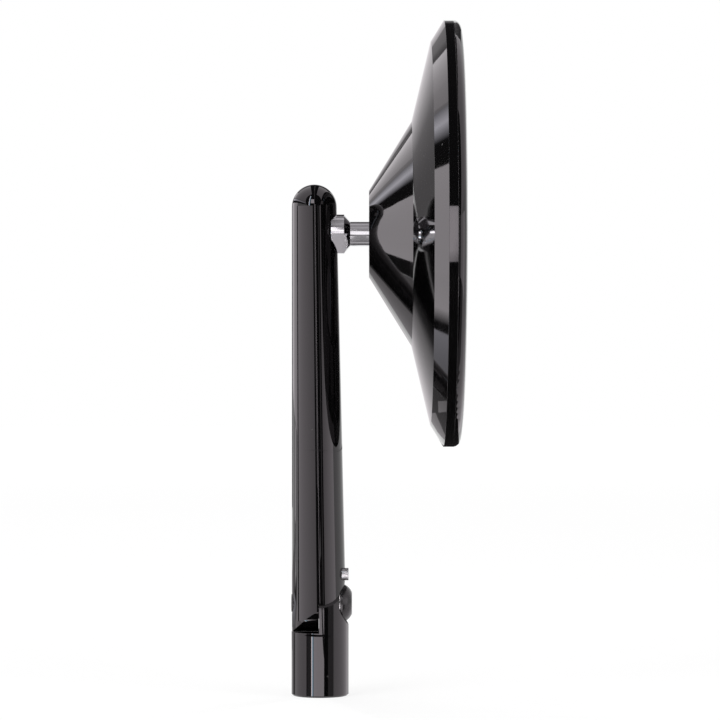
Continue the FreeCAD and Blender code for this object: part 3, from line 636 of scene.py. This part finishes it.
def makeLevelSheet(name, corners, glow, height, tint="plainTint"):
    first, second, third, fourth = [(x, y, height) for x, y in corners]
    glows = glow if isinstance(glow, tuple) else [glow] * 4
    cardMesh(name, [first, second, fourth, third], [glows[0], glows[1], glows[3], glows[2]], 2, tint)


def makeStreak(name, start, end, glow, group):
    height = group["height"]
    steps = max(2, math.ceil(abs(end - start) / 6))
    corners = []
    for step in range(steps + 1):
        away = direction(0, start + (end - start) * step / steps)
        reach = group["reach"] or (mirrorAxis[2] - height) / -away.z
        level = height or mirrorAxis[2] + away.z * reach
        corners += [(side, away.y * reach, level) for side in group["sides"]]
    cardMesh(name, corners, [glow] * len(corners), 2)


def makeDomeCard(name, distance, turns, heights, glow, tint):
    corners = []
    for step in range(9):
        height = heights[0] + (heights[1] - heights[0]) * step / 8
        for part in range(5):
            at = direction(turns[0] + (turns[1] - turns[0]) * part / 4, height) * distance
            corners.append((at.x, at.y, at.z + studio["domeHeight"]))
    cardMesh(name, corners, [glow] * len(corners), 5, tint)


def makeDarkDisc():
    aim = direction(darkDisc["turn"], darkDisc["height"])
    side = aim.cross(Vector((0, 0, 1))).normalized()
    up = side.cross(aim)
    corners = []
    for away in (0.01, darkDisc["radius"] * 0.5, darkDisc["radius"]):
        for step in range(49):
            spin, tilt = math.tau * step / 48, math.radians(away)
            edge = side * math.cos(spin) + up * math.sin(spin)
            at = (aim * math.cos(tilt) + edge * math.sin(tilt)) * darkDisc["distance"]
            corners.append((at.x, at.y, at.z + studio["domeHeight"]))
    cardMesh("dark_disc", corners, [darkDisc["glow"]] * len(corners), 49)


def makeRimWindow():
    left, right = rimWindow["x"]
    bright, low = rimWindow["glow"]
    away, start, shift = rimWindow["y"], rimWindow["floorStart"], rimWindow["floorShift"]
    top, foot = rimWindow["height"], rimWindow["foot"]
    corners = [(left, away, top), (right, away, top), (left, away, foot), (right, away, foot),
               (left + shift, start, foot), (right + shift, start, foot)]
    cardMesh("rim_window", corners, [bright, bright, bright, bright, low, low], 2)


def makeCardMaterial(tint):
    material = bpy.data.materials.new("studio card " + tint)
    material.use_nodes = True
    tree = material.node_tree
    tree.nodes.remove(tree.nodes["Principled BSDF"])
    glow = addNode(tree, "ShaderNodeAttribute", attribute_name="glow")
    light = addNode(tree, "ShaderNodeEmission", {"Color": studio[tint], "Strength": glow.outputs["Fac"]})
    tree.links.new(light.outputs[0], tree.nodes["Material Output"].inputs["Surface"])
    return material


def whiteForSight(tree):
    # 1 for camera, mirror and glass rays
    path = addNode(tree, "ShaderNodeLightPath")
    seen = calculate(tree, "MAXIMUM", path.outputs["Is Camera Ray"], path.outputs["Is Glossy Ray"])
    return calculate(tree, "MAXIMUM", seen, path.outputs["Is Transmission Ray"])


def makeFloor():
    radius = studio["floorRadius"]
    corners = [(radius * math.cos(math.tau * step / 48), radius * math.sin(math.tau * step / 48), 0)
               for step in range(48)]
    mesh = bpy.data.meshes.new("studio_floor")
    mesh.from_pydata(corners, [], [tuple(range(48))])
    floor = bpy.data.objects.new("studio_floor", mesh)
    bpy.context.scene.collection.objects.link(floor)
    material, tree, shader = startMaterial("pale floor", {
        "Base Color": studio["floorColour"], "Roughness": 0.9, "Specular IOR Level": 0.1})
    away = onVector(tree, "LENGTH", place(tree), output="Value")
    strength = spread(tree, away, *studio["floorReach"], *studio["floorGlow"])
    glow = addNode(tree, "ShaderNodeEmission", {"Color": (1, 1, 1, 1), "Strength": strength})
    share = calculate(tree, "MULTIPLY", whiteForSight(tree), studio["floorShare"])
    mix = addNode(tree, "ShaderNodeMixShader", {0: share, 1: shader.outputs[0], 2: glow.outputs[0]})
    tree.links.new(mix.outputs[0], tree.nodes["Material Output"].inputs["Surface"])
    floor.data.materials.append(material)


def makeRoom():
    world = bpy.data.worlds.new("white room")
    bpy.context.scene.world = world
    world.use_nodes = True
    tree = world.node_tree
    background = tree.nodes["Background"]
    background.inputs["Color"].default_value = (1, 1, 1, 1)
    strength = calculate(tree, "MAXIMUM", whiteForSight(tree), studio["roomLight"])
    plug(tree, strength, background.inputs["Strength"])


lamps = {
    "key_lamp": {"at": (-0.55, -0.60, 0.75), "size": (0.5, 0.5), "watts": 3.4},
    "fill_lamp": {"at": (0.60, -0.45, 0.40), "size": (0.5, 0.5), "watts": 1.6},
    "top_lamp": {"at": (0.0, 0.15, 0.95), "size": (0.7, 0.7), "watts": 3.0},
}


def makeLamp(name, at, size, watts):
    light = bpy.data.lights.new(name, "AREA")
    light.shape = "RECTANGLE"
    light.size, light.size_y = size
    light.energy = watts
    lamp = bpy.data.objects.new(name, light)
    lamp.location = at
    lamp.rotation_euler = (Vector(studio["lampAim"]) - Vector(at)).to_track_quat("-Z", "Y").to_euler()
    lamp.visible_camera = False
    lamp.visible_glossy = False
    bpy.context.scene.collection.objects.link(lamp)


cardMaterials = {tint: makeCardMaterial(tint) for tint in ("plainTint", "blueTint", "violetTint")}
makeFloor()
makeRoom()
for name, card in tentCards.items():
    makeTentCard(name, *card)
for name, (distance, height, stations) in uprightCards.items():
    makeUprightCard(name, distance, height, stations)
for name, stations in fanCards.items():
    makeFanCard(name, stations)
for name, sheet in levelSheets.items():
    makeLevelSheet(name, *sheet)
streakNumber = 0
for group in streaks.values():
    for start, end, glow in group["bands"]:
        streakNumber += 1
        makeStreak("streak_%02d" % streakNumber, start, end, glow, group)
for name, (distance, turns, heights, glow, tint) in domeCards.items():
    makeDomeCard(name, distance, turns, heights, glow, tint)
makeDarkDisc()
makeRimWindow()
for name, lamp in lamps.items():
    makeLamp(name, lamp["at"], lamp["size"], lamp["watts"])
print("studio done")


# Camera: the exact side view, level.

cameraPlace = {"at": (9.75 * mm, -753 * mm, 81.9 * mm), "lens": 154.0, "sensor": 36.0}


def makeCamera():
    data = bpy.data.cameras.new("camera")
    data.lens = cameraPlace["lens"]
    data.sensor_width = cameraPlace["sensor"]
    data.clip_start = 0.01
    data.clip_end = 20
    camera = bpy.data.objects.new("camera", data)
    camera.location = cameraPlace["at"]
    camera.rotation_euler = (math.pi / 2, 0, 0)
    bpy.context.scene.collection.objects.link(camera)
    bpy.context.scene.camera = camera


makeCamera()
bpy.context.scene.view_settings.view_transform = "Standard"
print("camera done")
